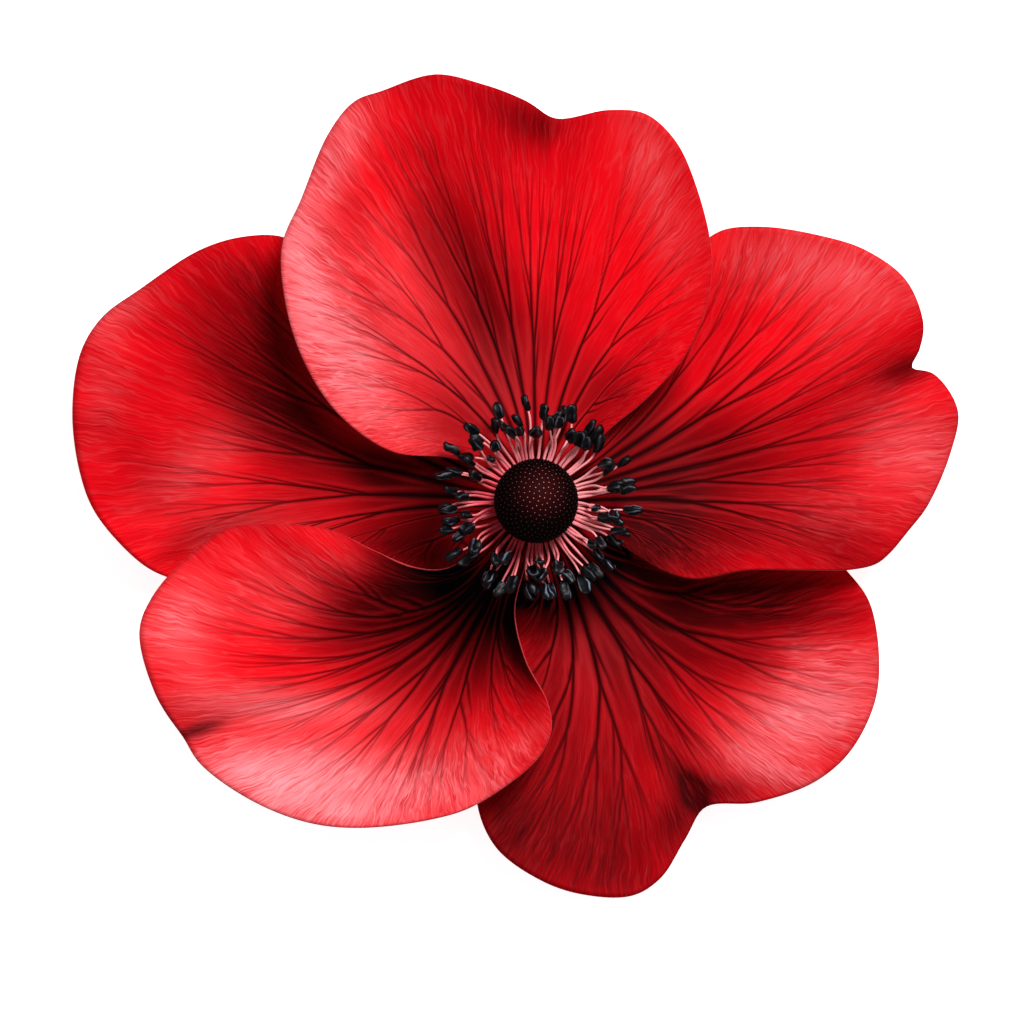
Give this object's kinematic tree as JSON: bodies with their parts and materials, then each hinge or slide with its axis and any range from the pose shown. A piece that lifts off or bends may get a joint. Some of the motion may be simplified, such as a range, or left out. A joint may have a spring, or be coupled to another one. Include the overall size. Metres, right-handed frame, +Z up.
{
  "type": "poppy anemone flower",
  "caption": "Open red poppy anemone bloom cut under the flower: broad overlapping waved tepals, a ring of dark stamens and a studded black centre.",
  "frame": {"origin": "middle of the bounding box, on the surface that the bloom lies on", "axes": "+X across the widest spread of the bloom, +Y towards the top tepal, +Z up out of the open flower"},
  "size_m": [0.0884, 0.082, 0.0129],
  "materials": {
    "red_tepal": "silky, finely fibred, with dark branching veins and a black base",
    "dark_stamen": "satin rose filaments with blue-black anthers",
    "black_carpel": "velvety maroon black with fine pale style tips",
    "green_stalk": "matt, finely hairy"
  },
  "bodies": {
    "root": {"receptacle": "green_stalk", "tepal_top": "red_tepal", "tepal_right": "red_tepal", "tepal_lower_right": "red_tepal", "tepal_lower_left": "red_tepal", "tepal_left": "red_tepal", "stamens": "dark_stamen", "carpel_head": "black_carpel"}
  },
  "joints": []
}
